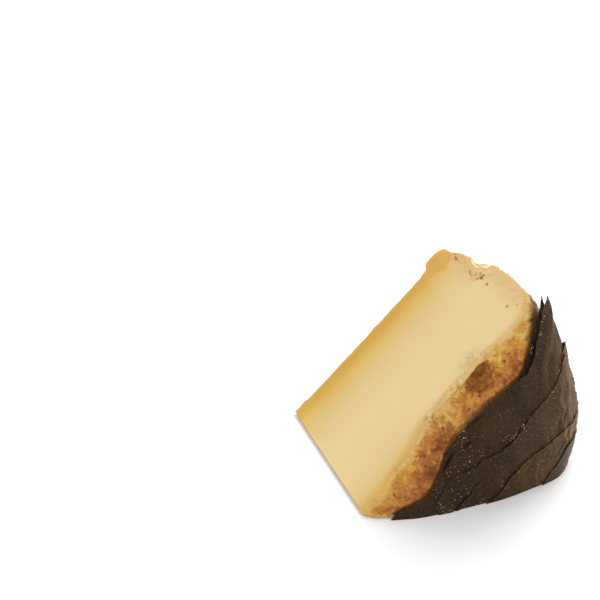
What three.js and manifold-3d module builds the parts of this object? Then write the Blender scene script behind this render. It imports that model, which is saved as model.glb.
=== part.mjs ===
// Wedge of pecorino cut from a wheel that ripened wrapped in walnut leaves.
// It lies on one knife cut: the thin edge of the wedge is on the table at the left,
// the leafy face of the wheel is in front (-Y), its bare face is behind (+Y) and the
// side of the wheel rises at the right (+X). Millimetres, +Z up.
import * as THREE from 'three';
import { mergeVertices } from 'three/addons/utils/BufferGeometryUtils.js';
import Module from 'manifold-3d';

// The wheel
const WHEEL_RADIUS = 91.2;
const WHEEL_HEIGHT = 65;
const FACE_DOME = 7;            // how far the leafy face swells in the middle
const CORNER_RISE = 3.2;        // the rind stands this far past the thin edge's broken end
const CORNER_RUN = 4;
const FACE_FALL = 0.055;        // slump of the leafy face towards the side, per mm
const SHOULDER_RADIUS = 8;      // rounding from the leafy face into the side
const SHOULDER_GROWTH = 5;      // extra rounding where the wheel had settled
const SIDE_TAPER = 0.13;        // share of the radius lost at the bare face
const SIDE_TAPER_POWER = 2.2;
const SIDE_BULGE = 4.3;         // the side stands out low down, where the wheel had settled
const BULGE_MISSING = 0.6;      // share of it that the lower cut lacks
const BULGE_RUN = 6;            // it grows from there over this many degrees
const BULGE_FADE = [10, 32];    // and fades between these
const FOOT_LIP = 2.4;           // the bare face is dished, with a lip round its edge
const FOOT_LIP_WIDTH = 14;
const FOOT_LIP_RISE = 4;
const FOOT_CORNER = 8;

// The two knife cuts, which meet off the wheel's centre
const CUT_ANGLE = THREE.MathUtils.degToRad(44.4);
const CENTRE_ALONG = -9;        // wheel's centre, measured along the lower cut
const CENTRE_ABOVE = 17.5;      // and square to it

// The edge between the upper cut and the leafy face has crumbled away
const WORN_DEPTH = 12;
const WORN_REACH = 15;          // how far below the upper cut the wear goes
const WORN_POWER = 1.6;         // how quickly it eases off on the way
const WORN_MIDDLE = 56;
const WORN_LENGTH = 22;

// Chips out of the upper cut's edges: along the cut, across it from the bare face, size
const CHIPS = [
  { along: 92, across: 11, size: 7 },
  { along: 97.5, across: 20, size: 5.5 },
  { along: 71, across: 55, size: 3.6 },
  { along: 58, across: 52.5, size: 3 },
  { along: 49, across: 54, size: 3.2 },
];
const CHIP_FLATNESS = 0.55;

// Walnut leaves: each lies on the rind and on the leaves before it in the list.
// "along" is measured on the wheel's skin from the thin edge, over the shoulder and
// down the side; "upper" and "lower" are angles above the lower cut, in degrees.
const LEAF_THICKNESS = 0.5;
const LEAF_GAP = 0.36;
const LEAF_MARGIN = 0.8;        // a leaf stays up this far past an edge that it crosses
const LEAF_DRAPE = 7;           // and comes down to the rind over this length
const TIP_LENGTH = 16;          // the free end of a leaf, which lifts off the rind
const ARC_REACH = [20, 90];     // degrees are turned to mm with a radius held between these
const LEAVES = [
  {
    name: 'leaf_inner', tipLift: 0.9,
    along: [48, 66, 78, 86, 94, 100],
    upper: [31, 33, 37, 40.2, 42.2, 41.6],
    lower: [28, 20, 20, 25, 34, 40.8],
  },
  {
    name: 'leaf_upper', tipLift: 0.9,
    along: [9, 16, 24, 30, 37, 46, 60, 76, 86, 92, 97.5],
    upper: [0.4, 6, 13, 24, 31.5, 34, 34.8, 35, 38.2, 40.9, 41.6],
    lower: [0, 0, 0, 3, 8, 10, 13, 18, 24, 32, 40.6],
  },
  {
    name: 'leaf_second', tipLift: 0.4,
    along: [25, 31, 40, 52, 60, 70, 80, 87, 92],
    upper: [9, 17.4, 19.2, 18.7, 20.6, 24, 28, 30.8, 31.6],
    lower: [0, 0, 0, 1, 3, 6, 12, 20, 30.4],
  },
  {
    name: 'leaf_third', tipLift: 1,
    along: [43, 48, 53, 60, 72, 80, 92, 104],
    upper: [0.6, 3, 7.4, 10.6, 12.2, 13.2, 13, 9],
    lower: [0, 0, 0, 0, 0, 0, 2, 7],
  },
  {
    name: 'leaf_lowest', tipLift: 0.8,
    along: [66, 72, 78, 86, 96, 110],
    upper: [0.8, 4, 8, 8.4, 6.4, 2],
    lower: [0, 0, 0, 0, 0, 0],
  },
];

// Fineness of the faceted surfaces
const CHEESE_SECTIONS = 22;
const SECTION_CROWDING = 1.3;   // sections stand closer together towards the worn edge
const FACE_STEPS = 20;
const SHOULDER_STEPS = 6;
const SIDE_STEPS = 12;
const FOOT_STEPS = 3;
const BARE_FACE_STEPS = 12;
const LEAF_STEPS_ALONG = 26;
const LEAF_STEPS_ACROSS = 7;
const NORMAL_STEP = 0.5;        // how far to either side a slope is measured
const WELD_REACH = 1e-4;

const RIND_COLOUR = 0xc9a05a;
const RIND_ROUGHNESS = 0.6;
const LEAF_ROUGHNESS = 0.55;
const LEAF_COLOURS = [0x2a2219, 0x3b3125, 0x40362a, 0x463c30, 0x4b4135];

const wasm = await Module();
wasm.setup();

const { clamp, smoothstep, lerp } = THREE.MathUtils;

// Distance from the thin edge to the wheel's side, at an angle above the lower cut
function sideRadius(angle) {
  const ahead = CENTRE_ALONG * Math.cos(angle) + CENTRE_ABOVE * Math.sin(angle);
  const aside = CENTRE_ALONG * Math.sin(angle) - CENTRE_ABOVE * Math.cos(angle);
  const degrees = angle * 180 / Math.PI;
  const growth = 1 - BULGE_MISSING * Math.exp(-degrees / BULGE_RUN);
  const bulge = SIDE_BULGE * growth * (1 - smoothstep(degrees, ...BULGE_FADE));
  return ahead + Math.sqrt(WHEEL_RADIUS ** 2 - aside ** 2) + bulge;
}

function shoulderRadius(angle) {
  return SHOULDER_RADIUS + SHOULDER_GROWTH * (1 - angle / CUT_ANGLE);
}

// Height of the leafy face above the bare face, at a distance from the thin edge
function faceHeight(distance, angle) {
  const turn = angle / CUT_ANGLE;
  const share = clamp(distance / WHEEL_RADIUS, 0, 1);
  const corner = CORNER_RISE * (1 - Math.exp(-distance / CORNER_RUN)) * (1 - share);
  const swell = (FACE_DOME * Math.sin(Math.PI * share) + corner) * (1 - turn);
  const belowCut = distance * Math.sin(CUT_ANGLE - angle);
  const alongCut = distance * Math.cos(CUT_ANGLE - angle);
  const nearCut = Math.pow(clamp(1 - belowCut / WORN_REACH, 0, 1), WORN_POWER);
  const worn = WORN_DEPTH * Math.exp(-(((alongCut - WORN_MIDDLE) / WORN_LENGTH) ** 2)) * nearCut;
  return WHEEL_HEIGHT + swell - FACE_FALL * distance * turn - worn;
}

// A point of the wheel's skin: x is the distance from the thin edge, y the height above
// the bare face. "along" runs over the leafy face, round the shoulder and down the side.
function skinPoint(along, angle) {
  const radius = sideRadius(angle);
  const shoulder = shoulderRadius(angle);
  const faceEnd = radius - shoulder;
  const quarter = shoulder * Math.PI / 2;
  if (along <= faceEnd) {
    return new THREE.Vector2(along, faceHeight(along, angle));
  }
  const sideTop = faceHeight(radius, angle) - shoulder;
  if (along <= faceEnd + quarter) {
    const bend = (along - faceEnd) / shoulder;
    const distance = faceEnd + shoulder * Math.sin(bend);
    return new THREE.Vector2(distance, faceHeight(distance, angle) - shoulder * (1 - Math.cos(bend)));
  }
  const drop = along - faceEnd - quarter;
  const taper = SIDE_TAPER * Math.pow(clamp(drop / sideTop, 0, 1), SIDE_TAPER_POWER);
  return new THREE.Vector2(radius * (1 - taper), sideTop - drop);
}

function skinNormal(along, angle) {
  const before = skinPoint(Math.max(along - NORMAL_STEP, 0), angle);
  const after = skinPoint(along + NORMAL_STEP, angle);
  const tangent = after.sub(before).normalize();
  return new THREE.Vector2(-tangent.y, tangent.x);
}

// From a section at an angle above the lower cut into space
function place(section, angle) {
  return new THREE.Vector3(section.x * Math.cos(angle), -section.y, section.x * Math.sin(angle));
}

// Outline of the cheese in one plane through the thin edge
function cheeseSection(angle) {
  const radius = sideRadius(angle);
  const shoulder = shoulderRadius(angle);
  const faceEnd = radius - shoulder;
  const quarter = shoulder * Math.PI / 2;
  const sideTop = faceHeight(radius, angle) - shoulder;
  const sideDrop = sideTop - FOOT_CORNER + FOOT_LIP;
  const outline = [];
  for (let i = 0; i < FACE_STEPS; i++) {
    outline.push(skinPoint(faceEnd * i / FACE_STEPS, angle));
  }
  for (let i = 0; i < SHOULDER_STEPS; i++) {
    outline.push(skinPoint(faceEnd + quarter * i / SHOULDER_STEPS, angle));
  }
  for (let i = 0; i <= SIDE_STEPS; i++) {
    outline.push(skinPoint(faceEnd + quarter + sideDrop * i / SIDE_STEPS, angle));
  }
  const foot = outline[outline.length - 1];
  for (let i = 1; i <= FOOT_STEPS; i++) {
    const bend = Math.PI / 2 * i / FOOT_STEPS;
    const inwards = FOOT_CORNER * (1 - Math.cos(bend));
    outline.push(new THREE.Vector2(foot.x - inwards, foot.y - FOOT_CORNER * Math.sin(bend)));
  }
  const edge = outline[outline.length - 1].x;
  const lipStart = edge - FOOT_LIP_WIDTH + FOOT_CORNER;
  for (let i = 1; i <= BARE_FACE_STEPS; i++) {
    const distance = edge * (1 - i / BARE_FACE_STEPS);
    const lip = smoothstep(distance, lipStart, lipStart + FOOT_LIP_RISE);
    outline.push(new THREE.Vector2(distance, -FOOT_LIP * lip));
  }
  return outline;
}

function geometryOf(points, triangles) {
  const geometry = new THREE.BufferGeometry();
  geometry.setFromPoints(points);
  geometry.setIndex(triangles.flat());
  return geometry;
}

// Closed skin over a row of outlines with equal counts, capped flat at both ends
function loft(outlines, placeRow) {
  const count = outlines[0].length;
  const points = outlines.flatMap(placeRow);
  const triangles = [];
  for (let row = 0; row < outlines.length - 1; row++) {
    for (let i = 0; i < count; i++) {
      const next = (i + 1) % count;
      const [a, b] = [row * count + i, row * count + next];
      const [c, d] = [a + count, b + count];
      triangles.push([a, b, d], [a, d, c]);
    }
  }
  const last = (outlines.length - 1) * count;
  for (const [a, b, c] of THREE.ShapeUtils.triangulateShape(outlines[0], [])) {
    triangles.push([a, b, c]);
  }
  for (const [a, b, c] of THREE.ShapeUtils.triangulateShape(outlines[outlines.length - 1], [])) {
    triangles.push([last + a, last + c, last + b]);
  }
  return geometryOf(points, triangles);
}

// Merged copy of a geometry, without the triangles that merging has shut
function welded(geometry) {
  const bare = geometry.clone();
  bare.deleteAttribute('normal');
  bare.deleteAttribute('uv');
  const merged = mergeVertices(bare, WELD_REACH);
  const open = [];
  for (let i = 0; i < merged.index.count; i += 3) {
    const corners = [0, 1, 2].map((k) => merged.index.getX(i + k));
    if (new Set(corners).size === 3) {
      open.push(...corners);
    }
  }
  merged.setIndex(open);
  return merged;
}

function solidOf(geometry) {
  const merged = welded(geometry);
  const mesh = new wasm.Mesh({
    numProp: 3,
    vertProperties: new Float32Array(merged.attributes.position.array),
    triVerts: new Uint32Array(merged.index.array),
  });
  return new wasm.Manifold(mesh);
}

function geometryFrom(solid) {
  const mesh = solid.getMesh();
  const geometry = new THREE.BufferGeometry();
  geometry.setAttribute('position', new THREE.BufferAttribute(new Float32Array(mesh.vertProperties), 3));
  geometry.setIndex(Array.from(mesh.triVerts));
  return geometry;
}

function cheeseGeometry() {
  const angles = [];
  const outlines = [];
  for (let i = 0; i <= CHEESE_SECTIONS; i++) {
    const share = i / CHEESE_SECTIONS;
    const angle = CUT_ANGLE * (1 - (1 - share) ** SECTION_CROWDING);
    angles.push(angle);
    outlines.push(cheeseSection(angle));
  }
  const body = loft(outlines, (outline, row) => outline.map((point) => place(point, angles[row])));
  let solid = solidOf(body);
  for (const chip of CHIPS) {
    const lump = new THREE.IcosahedronGeometry(chip.size, 0);
    lump.scale(1, 1, CHIP_FLATNESS);
    lump.rotateY(-CUT_ANGLE);
    const centre = place(new THREE.Vector2(chip.along, chip.across), CUT_ANGLE);
    lump.translate(centre.x, centre.y, centre.z);
    solid = solid.subtract(solidOf(lump));
  }
  return geometryFrom(solid);
}

// Smooth line through a leaf's listed points
function curveOf(leaf, side) {
  return new THREE.SplineCurve(leaf.along.map((along, i) => new THREE.Vector2(along, leaf[side][i])));
}

// Angle of a leaf's edge, in degrees, at a distance along the skin
function edgeAngle(leaf, side, along) {
  const stops = leaf.along;
  const held = clamp(along, stops[0], stops[stops.length - 1]);
  const next = Math.max(1, stops.findIndex((stop) => stop >= held));
  const share = (held - stops[next - 1]) / (stops[next] - stops[next - 1]);
  return curveOf(leaf, side).getPoint((next - 1 + share) / (stops.length - 1)).y;
}

// How far a place on the skin lies outside a leaf's outline, about, in mm
function distanceOutside(leaf, along, degrees) {
  const first = leaf.along[0];
  const last = leaf.along[leaf.along.length - 1];
  const perDegree = clamp(along, ...ARC_REACH) * Math.PI / 180;
  const above = (degrees - edgeAngle(leaf, 'upper', along)) * perDegree;
  const below = (edgeAngle(leaf, 'lower', along) - degrees) * perDegree;
  return Math.max(above, below, first - along, along - last, 0);
}

// Height of a leaf's underside above the rind: it steps up over each leaf below it
function leafLift(order, along, degrees) {
  let lift = LEAF_GAP;
  for (const below of LEAVES.slice(0, order)) {
    const outside = distanceOutside(below, along, degrees);
    const cover = 1 - smoothstep(outside, LEAF_MARGIN, LEAF_DRAPE);
    lift += (LEAF_THICKNESS + LEAF_GAP) * cover;
    lift += tipRise(below, along) * cover;
  }
  return lift + tipRise(LEAVES[order], along);
}

function tipRise(leaf, along) {
  const start = leaf.along[leaf.along.length - 1] - TIP_LENGTH;
  return leaf.tipLift * clamp((along - start) / TIP_LENGTH, 0, 1) ** 2;
}

function leafGeometry(order) {
  const leaf = LEAVES[order];
  const first = leaf.along[0];
  const last = leaf.along[leaf.along.length - 1];
  const points = [];
  const row = 2 * (LEAF_STEPS_ACROSS + 1);
  const triangles = [];
  for (let i = 0; i <= LEAF_STEPS_ALONG; i++) {
    const along = lerp(first, last, i / LEAF_STEPS_ALONG);
    const upper = edgeAngle(leaf, 'upper', along);
    const lower = Math.max(edgeAngle(leaf, 'lower', along), 0);
    for (const skin of [0, LEAF_THICKNESS]) {
      for (let j = 0; j <= LEAF_STEPS_ACROSS; j++) {
        const across = skin === 0 ? j : LEAF_STEPS_ACROSS - j;
        const degrees = Math.max(lerp(lower, upper, across / LEAF_STEPS_ACROSS), 0);
        const angle = degrees * Math.PI / 180;
        const height = leafLift(order, along, degrees) + skin;
        const section = skinPoint(along, angle).addScaledVector(skinNormal(along, angle), height);
        points.push(place(section, angle));
      }
    }
  }
  for (let i = 0; i < LEAF_STEPS_ALONG; i++) {
    for (let j = 0; j < row; j++) {
      const next = (j + 1) % row;
      const [a, b] = [i * row + j, i * row + next];
      triangles.push([a, b, b + row], [a, b + row, a + row]);
    }
  }
  for (let j = 0; j < LEAF_STEPS_ACROSS; j++) {
    const end = LEAF_STEPS_ALONG * row;
    const [a, b, c, d] = [j, j + 1, row - 2 - j, row - 1 - j];
    triangles.push([a, c, b], [a, d, c]);
    triangles.push([end + a, end + b, end + c], [end + a, end + c, end + d]);
  }
  return welded(geometryOf(points, triangles));
}

function pieceOf(name, geometry, colour, roughness) {
  geometry.computeVertexNormals();
  const material = new THREE.MeshStandardMaterial({ color: colour, roughness, metalness: 0 });
  const piece = new THREE.Mesh(geometry, material);
  piece.name = name;
  return piece;
}

const wedge = new THREE.Group();
wedge.add(pieceOf('cheese', cheeseGeometry(), RIND_COLOUR, RIND_ROUGHNESS));
LEAVES.forEach((leaf, order) => {
  wedge.add(pieceOf(leaf.name, leafGeometry(order), LEAF_COLOURS[order], LEAF_ROUGHNESS));
});

// The origin is under the middle of the whole piece, on the table
const extent = new THREE.Box3().setFromObject(wedge);
const middle = extent.getCenter(new THREE.Vector3());
wedge.position.set(-middle.x, -middle.y, -extent.min.z);

export default wedge;
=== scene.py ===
# A wedge of pecorino from a wheel that ripened wrapped in walnut leaves. It lies on one knife
# cut, with its thin edge at the left, the leafy face of the wheel in front and the wheel's
# bare face behind. Shapes are worked out in millimetres and placed in metres.
import math
import random
from functools import partial
from types import SimpleNamespace

import bmesh
import bpy
import numpy as np
from mathutils import Euler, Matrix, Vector, noise
from mathutils.bvhtree import BVHTree


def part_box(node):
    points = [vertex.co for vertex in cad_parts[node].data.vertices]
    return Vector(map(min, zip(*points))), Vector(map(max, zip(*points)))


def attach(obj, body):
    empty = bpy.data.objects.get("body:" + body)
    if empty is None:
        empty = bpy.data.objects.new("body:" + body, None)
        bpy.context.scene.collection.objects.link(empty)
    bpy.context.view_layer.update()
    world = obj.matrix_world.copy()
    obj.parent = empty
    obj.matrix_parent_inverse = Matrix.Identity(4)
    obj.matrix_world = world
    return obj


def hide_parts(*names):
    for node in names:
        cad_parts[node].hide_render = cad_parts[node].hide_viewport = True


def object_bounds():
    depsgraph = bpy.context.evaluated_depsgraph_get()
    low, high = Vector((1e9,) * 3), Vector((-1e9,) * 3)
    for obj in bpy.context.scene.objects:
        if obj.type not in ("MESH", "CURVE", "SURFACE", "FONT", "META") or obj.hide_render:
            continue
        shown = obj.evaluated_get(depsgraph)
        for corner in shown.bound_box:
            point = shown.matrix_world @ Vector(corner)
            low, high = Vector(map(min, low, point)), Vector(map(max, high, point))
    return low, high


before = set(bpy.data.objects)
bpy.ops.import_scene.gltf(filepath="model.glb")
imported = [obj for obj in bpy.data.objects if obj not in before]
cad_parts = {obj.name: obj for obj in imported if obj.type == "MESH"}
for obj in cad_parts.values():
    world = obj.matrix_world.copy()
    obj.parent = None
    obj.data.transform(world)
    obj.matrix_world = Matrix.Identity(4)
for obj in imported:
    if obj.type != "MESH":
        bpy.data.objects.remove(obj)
cad_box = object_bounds()
MM = 0.001

# ---- Camera ----
# A long lens looks down on the wedge from the side of its thin edge, so that the cut shows in
# full and the leaves fall away to the right.
CAMERA_TURN = math.radians(-21.36)
CAMERA_TILT = math.radians(33)
CAMERA_DISTANCE = 0.870
CAMERA_AIM = Vector((-0.01397, 0.10676, 0.0007))
CAMERA_LENS = 130.44


def in_scene(name, data):
    """A new object in the scene."""
    piece = bpy.data.objects.new(name, data)
    bpy.context.scene.collection.objects.link(piece)
    return piece


camera_data = bpy.data.cameras.new("camera")
camera_data.lens = CAMERA_LENS
camera_data.clip_end = 10
camera = in_scene("camera", camera_data)
camera.rotation_euler = Euler((math.pi / 2 - CAMERA_TILT, 0, CAMERA_TURN))
looking = camera.rotation_euler.to_matrix() @ Vector((0, 0, -1))
camera.location = CAMERA_AIM - CAMERA_DISTANCE * looking
bpy.context.scene.camera = camera
bpy.context.scene.view_settings.view_transform = "Standard"


# ---- Studio table and light ----
# A seamless white sheet in a white room, with one broad soft lamp overhead to the right.
TABLE_SIZE = 6
TABLE_WHITE = 0xFAFAFA
ROOM_LIGHT = 0.83
LAMP_SIZE = 0.6
LAMP_POWER = 9.6
LAMP_PLACE = Vector((0.64, 0.52, 0.66))


def linear(hex_colour):
    """Linear colour, with alpha 1, of an sRGB hex value."""
    channels = [(hex_colour >> shift & 255) / 255 for shift in (16, 8, 0)]
    lit = [c / 12.92 if c <= 0.04045 else ((c + 0.055) / 1.055) ** 2.4 for c in channels]
    return (*lit, 1.0)


def add_node(tree, kind, **given):
    """Adds a node. Settings are in small letters, and links are named for their sockets: each
    is another node, an output or a plain value."""
    node = tree.nodes.new("ShaderNode" + kind)
    for number, (place, colour) in enumerate(given.pop("stops", ())):
        ramp = node.color_ramp.elements
        stop = ramp[number] if number < len(ramp) else ramp.new(1.0)
        stop.position = place
        stop.color = linear(colour)
    for name, value in given.items():
        if name.islower():
            setattr(node, name, value)
    for socket in node.inputs:
        value = given.get(socket.identifier.replace(" ", "_"))
        if isinstance(value, bpy.types.Node):
            value = next(output for output in value.outputs if output.enabled)
        if isinstance(value, bpy.types.NodeSocket):
            tree.links.new(value, socket)
        elif value is not None:
            socket.default_value = value
    return node


def new_material(name):
    """An empty material, and the function that adds nodes to it."""
    material = bpy.data.materials.new(name)
    material.use_nodes = True
    material.node_tree.nodes.clear()
    return material, partial(add_node, material.node_tree)


def mesh_of(name, points, faces):
    """A mesh from points in metres."""
    mesh = bpy.data.meshes.new(name)
    mesh.from_pydata([tuple(point) for point in points], [], faces)
    return mesh


def dressed(name, mesh, material):
    """A smooth-shaded object in the scene, all of one material."""
    mesh.materials.clear()
    mesh.materials.append(material)
    mesh.shade_smooth()
    return in_scene(name, mesh)


def matte_white_sheet():
    """Matt white paper, faintly uneven from its fibres, with no gloss to speak of."""
    material, add = new_material("matte_white_sheet")
    place = add("TexCoord").outputs["Object"]
    fibres = add("TexNoise", Vector=place, Scale=1 / (2 * MM), Detail=3)
    bump = add("Bump", Height=fibres, Strength=0.02, Distance=0.02 * MM)
    paper = add("BsdfPrincipled", Base_Color=linear(TABLE_WHITE), Roughness=0.9, Normal=bump,
                Specular_IOR_Level=0.2)
    add("OutputMaterial", Surface=paper)
    return material


half = TABLE_SIZE / 2
table_corners = [(-half, -half, 0), (half, -half, 0), (half, half, 0), (-half, half, 0)]
sheet = mesh_of("white_table", table_corners, [(0, 1, 2, 3)])
table = dressed("white_table", sheet, matte_white_sheet())

room = bpy.data.worlds.new("white_room")
room.use_nodes = True
walls = room.node_tree.nodes["Background"].inputs
walls["Color"].default_value = (1, 1, 1, 1)
walls["Strength"].default_value = ROOM_LIGHT
bpy.context.scene.world = room

lamp_data = bpy.data.lights.new("overhead_lamp", "AREA")
lamp_data.size = LAMP_SIZE
lamp_data.energy = LAMP_POWER
lamp = in_scene("overhead_lamp", lamp_data)
lamp.location = LAMP_PLACE
lamp.rotation_euler = (-LAMP_PLACE).to_track_quat("-Z", "Y").to_euler()

# ---- The cheese ----
# One solid piece of semi-hard sheep's milk cheese. The wheel was pressed in a round mould, its
# leafy face swelled while it ripened, and two knife cuts off the wheel's centre set it free.
WHEEL_RADIUS = 91.2
WHEEL_HEIGHT = 65
FACE_DOME = 7
CORNER_RISE = 3.2
CORNER_RUN = 4
FACE_FALL = 0.055
SHOULDER_RADIUS = 8
SHOULDER_GROWTH = 5
SIDE_TAPER = 0.13
SIDE_TAPER_POWER = 2.2
SIDE_BULGE = 4.3
BULGE_MISSING = 0.6
BULGE_RUN = 6
BULGE_FADE = (10.0, 32.0)
FOOT_LIP = 2.4
FOOT_LIP_WIDTH = 14
FOOT_LIP_RISE = 4
FOOT_CORNER = 8
FOOT_CORNER_AT_CUT = 4.5
CUT_ANGLE = math.radians(44.4)
CENTRE_ALONG = -9
CENTRE_ABOVE = 17.5
WORN_DEPTH = 12
WORN_REACH = 15
WORN_POWER = 1.6
WORN_MIDDLE = 56
WORN_LENGTH = 22

cheese_low, cheese_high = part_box("cheese")
THIN_EDGE_X = cheese_low.x / MM
BARE_FACE_Y = cheese_high.y / MM - FOOT_LIP
TABLE_Z = cheese_low.z / MM


def growing(value, start, end):
    """0 below start, 1 above end and a soft change between."""
    share = np.clip((np.asarray(value) - start) / (end - start), 0, 1)
    return share * share * (3 - 2 * share)


def fading(value, start, end):
    return 1 - growing(value, start, end)


def hump(value, middle, width):
    return np.exp(-((value - middle) / width) ** 2)


def side_radius(angle):
    """Distance from the thin edge to the wheel's side, at an angle above the lower cut."""
    ahead = CENTRE_ALONG * np.cos(angle) + CENTRE_ABOVE * np.sin(angle)
    aside = CENTRE_ALONG * np.sin(angle) - CENTRE_ABOVE * np.cos(angle)
    degrees = np.degrees(angle)
    growth = 1 - BULGE_MISSING * np.exp(-degrees / BULGE_RUN)
    bulge = SIDE_BULGE * growth * fading(degrees, *BULGE_FADE)
    return ahead + np.sqrt(WHEEL_RADIUS ** 2 - aside ** 2) + bulge


def face_height(distance, angle):
    """Height of the leafy face above the bare face. The rind has worn away by the upper cut,
    under an edge of paste that stands out."""
    turn = angle / CUT_ANGLE
    share = np.clip(distance / WHEEL_RADIUS, 0, 1)
    corner = CORNER_RISE * (1 - np.exp(-distance / CORNER_RUN)) * (1 - share)
    swell = (FACE_DOME * np.sin(np.pi * share) + corner) * (1 - turn)
    below_cut = distance * np.sin(CUT_ANGLE - angle)
    along_cut = distance * np.cos(CUT_ANGLE - angle)
    near_cut = np.clip(1 - below_cut / WORN_REACH, 0, 1) ** WORN_POWER
    worn = WORN_DEPTH * hump(along_cut, WORN_MIDDLE, WORN_LENGTH) * near_cut
    held = 7.6 * growing(along_cut, 22, 41) - 1.6 * growing(along_cut, 65, 78)
    worn = np.minimum(worn, held - 1.2 * hump(along_cut, 12, 9))
    far_corner = 5.0 * growing(along_cut, 74, 93) * fading(below_cut, 0, 7)
    return WHEEL_HEIGHT + swell - FACE_FALL * distance * turn - worn - far_corner


def skin_sizes(angle):
    """Radii of the side and the shoulder, the face's end, the bend's length and the side's top."""
    radius = side_radius(angle)
    shoulder = SHOULDER_RADIUS + SHOULDER_GROWTH * (1 - angle / CUT_ANGLE)
    side_top = face_height(radius, angle) - shoulder
    return radius, shoulder, radius - shoulder, shoulder * np.pi / 2, side_top


def skin_point(along, angle):
    """Distance and height of the skin: over the leafy face, the shoulder and the side."""
    radius, shoulder, face_end, quarter, side_top = skin_sizes(angle)
    bend = np.clip((along - face_end) / shoulder, 0, np.pi / 2)
    distance = np.where(along < face_end, along, face_end + shoulder * np.sin(bend))
    height = face_height(distance, angle) - shoulder * (1 - np.cos(bend))
    drop = np.maximum(along - face_end - quarter, 0)
    taper = SIDE_TAPER * np.clip(drop / side_top, 0, 1) ** SIDE_TAPER_POWER
    on_side = drop > 0
    return np.where(on_side, radius * (1 - taper), distance), np.where(on_side, side_top - drop, height)


def in_space(distance, height, angle):
    """Millimetres in the row frame from a distance, a height and an angle."""
    return np.stack([THIN_EDGE_X + distance * np.cos(angle), BARE_FACE_Y - height,
                     TABLE_Z + distance * np.sin(angle)], -1)


def relief(points, lump, octaves=4, where=None):
    """Fractal unevenness about -1 to 1, for points in mm and lumps of a size in mm."""
    values = np.zeros(len(points))
    chosen = range(len(points)) if where is None else np.flatnonzero(where)
    for i in chosen:
        values[i] = noise.fractal(Vector(points[i]) / lump, 1.0, 2.0, octaves)
    return values


def crumbs_in(points, size, where):
    """For crumbs of a size in mm: a random number each, and 0 at their borders."""
    level = np.zeros(len(points))
    border = np.ones(len(points))
    for i in np.flatnonzero(where):
        distances, centres = noise.voronoi(Vector(points[i]) / size)
        level[i] = 0.5 + 0.5 * noise.cell(centres[0] * 7.3)
        border[i] = distances[1] - distances[0]
    return level, border


def cheese_outline(angle):
    """Closed outline of the cheese in one plane through the thin edge."""
    _, _, face_end, quarter, side_top = skin_sizes(angle)
    by_cut = growing(angle, CUT_ANGLE * 0.7, CUT_ANGLE)
    corner = FOOT_CORNER_AT_CUT + (FOOT_CORNER - FOOT_CORNER_AT_CUT) * (1 - by_cut)
    side_end = face_end + quarter + side_top - corner + FOOT_LIP
    along = np.r_[np.linspace(0, face_end, 60, endpoint=False),
                  np.linspace(face_end, face_end + quarter, 16, endpoint=False),
                  np.linspace(face_end + quarter, side_end, 40)]
    distance, height = skin_point(along, np.full_like(along, angle))
    bend = np.linspace(0, np.pi / 2, 9)[1:]
    foot_distance = distance[-1] - corner * (1 - np.cos(bend))
    foot_height = height[-1] - corner * np.sin(bend)
    bare_distance = np.linspace(foot_distance[-1], 0, 120)[1:]
    lip_start = foot_distance[-1] - FOOT_LIP_WIDTH + corner
    lip_foot = lip_start + 0.6 * by_cut * FOOT_LIP_RISE
    bare_height = -FOOT_LIP * growing(bare_distance, lip_foot, lip_start + FOOT_LIP_RISE)
    return np.r_[distance, foot_distance, bare_distance], np.r_[height, foot_height, bare_height]


def cut_wedge(rows):
    """The plain wedge as one closed mesh."""
    build = bmesh.new()
    rows = [[build.verts.new(point * MM) for point in row] for row in rows]
    for row, above in zip(rows, rows[1:]):
        for i, corner in enumerate(row):
            build.faces.new((row[i - 1], corner, above[i], above[i - 1]))
    build.faces.new(list(reversed(rows[0])))
    build.faces.new(rows[-1])
    bmesh.ops.remove_doubles(build, verts=build.verts, dist=1e-6)
    bmesh.ops.recalc_face_normals(build, faces=build.faces)
    mesh = bpy.data.meshes.new("wedge_of_cheese")
    build.to_mesh(mesh)
    build.free()
    return mesh


def rind_surface(rows):
    """The wheel's skin, to measure depths below it."""
    width = len(rows[0])
    points = [Vector(point) for row in rows for point in row]
    faces = [(r * width + i, (r + 1) * width + i, (r + 1) * width + i + 1, r * width + i + 1)
             for r in range(len(rows) - 1) for i in range(width - 1)]
    return BVHTree.FromPolygons(points, faces)


# Lumps that broke out of the cut's edges: along the cut, across it, below it, and their size
BREAKS = [
    (72.4, -1.8, 0.0, 1.3), (62.0, -1.7, 0.6, 1.5), (44.0, -1.2, 0.4, 1.2), (27.0, -1.3, 0.3, 1.2),
]
# Brown stains of the rind: along the skin and in degrees, their radius in mm and strength
STAINS = [
    (43.1, 36.6, 1.8, 0.7), (42.9, 39.8, 1.2, 0.5), (23, 19.6, 1.6, 0.6), (29.6, 27.2, 1.5, 0.5),
    (23.3, 28.5, 1.4, 0.4), (35, 35, 1.4, 0.35), (78, 34.5, 1.5, 0.4), (9.5, 18, 1.4, 0.6),
    (12, 15.5, 1.8, 0.85), (15.5, 14, 1.4, 0.7),
]
# Clusters of small pits in the upper cut: along it, across it, their spread and number
PITTED = [(84, 7.6, 1.2, 6), (87.5, 21, 2.2, 11), (86.8, 26.5, 1.4, 5), (89.5, 43, 3, 3)]


def upper_cut_point(along, across, below):
    """Millimetres in the row frame of a place on or below the upper cut."""
    x = THIN_EDGE_X + along * math.cos(CUT_ANGLE) + below * math.sin(CUT_ANGLE)
    z = TABLE_Z + along * math.sin(CUT_ANGLE) - below * math.cos(CUT_ANGLE)
    return Vector((x, BARE_FACE_Y - across, z))


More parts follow.
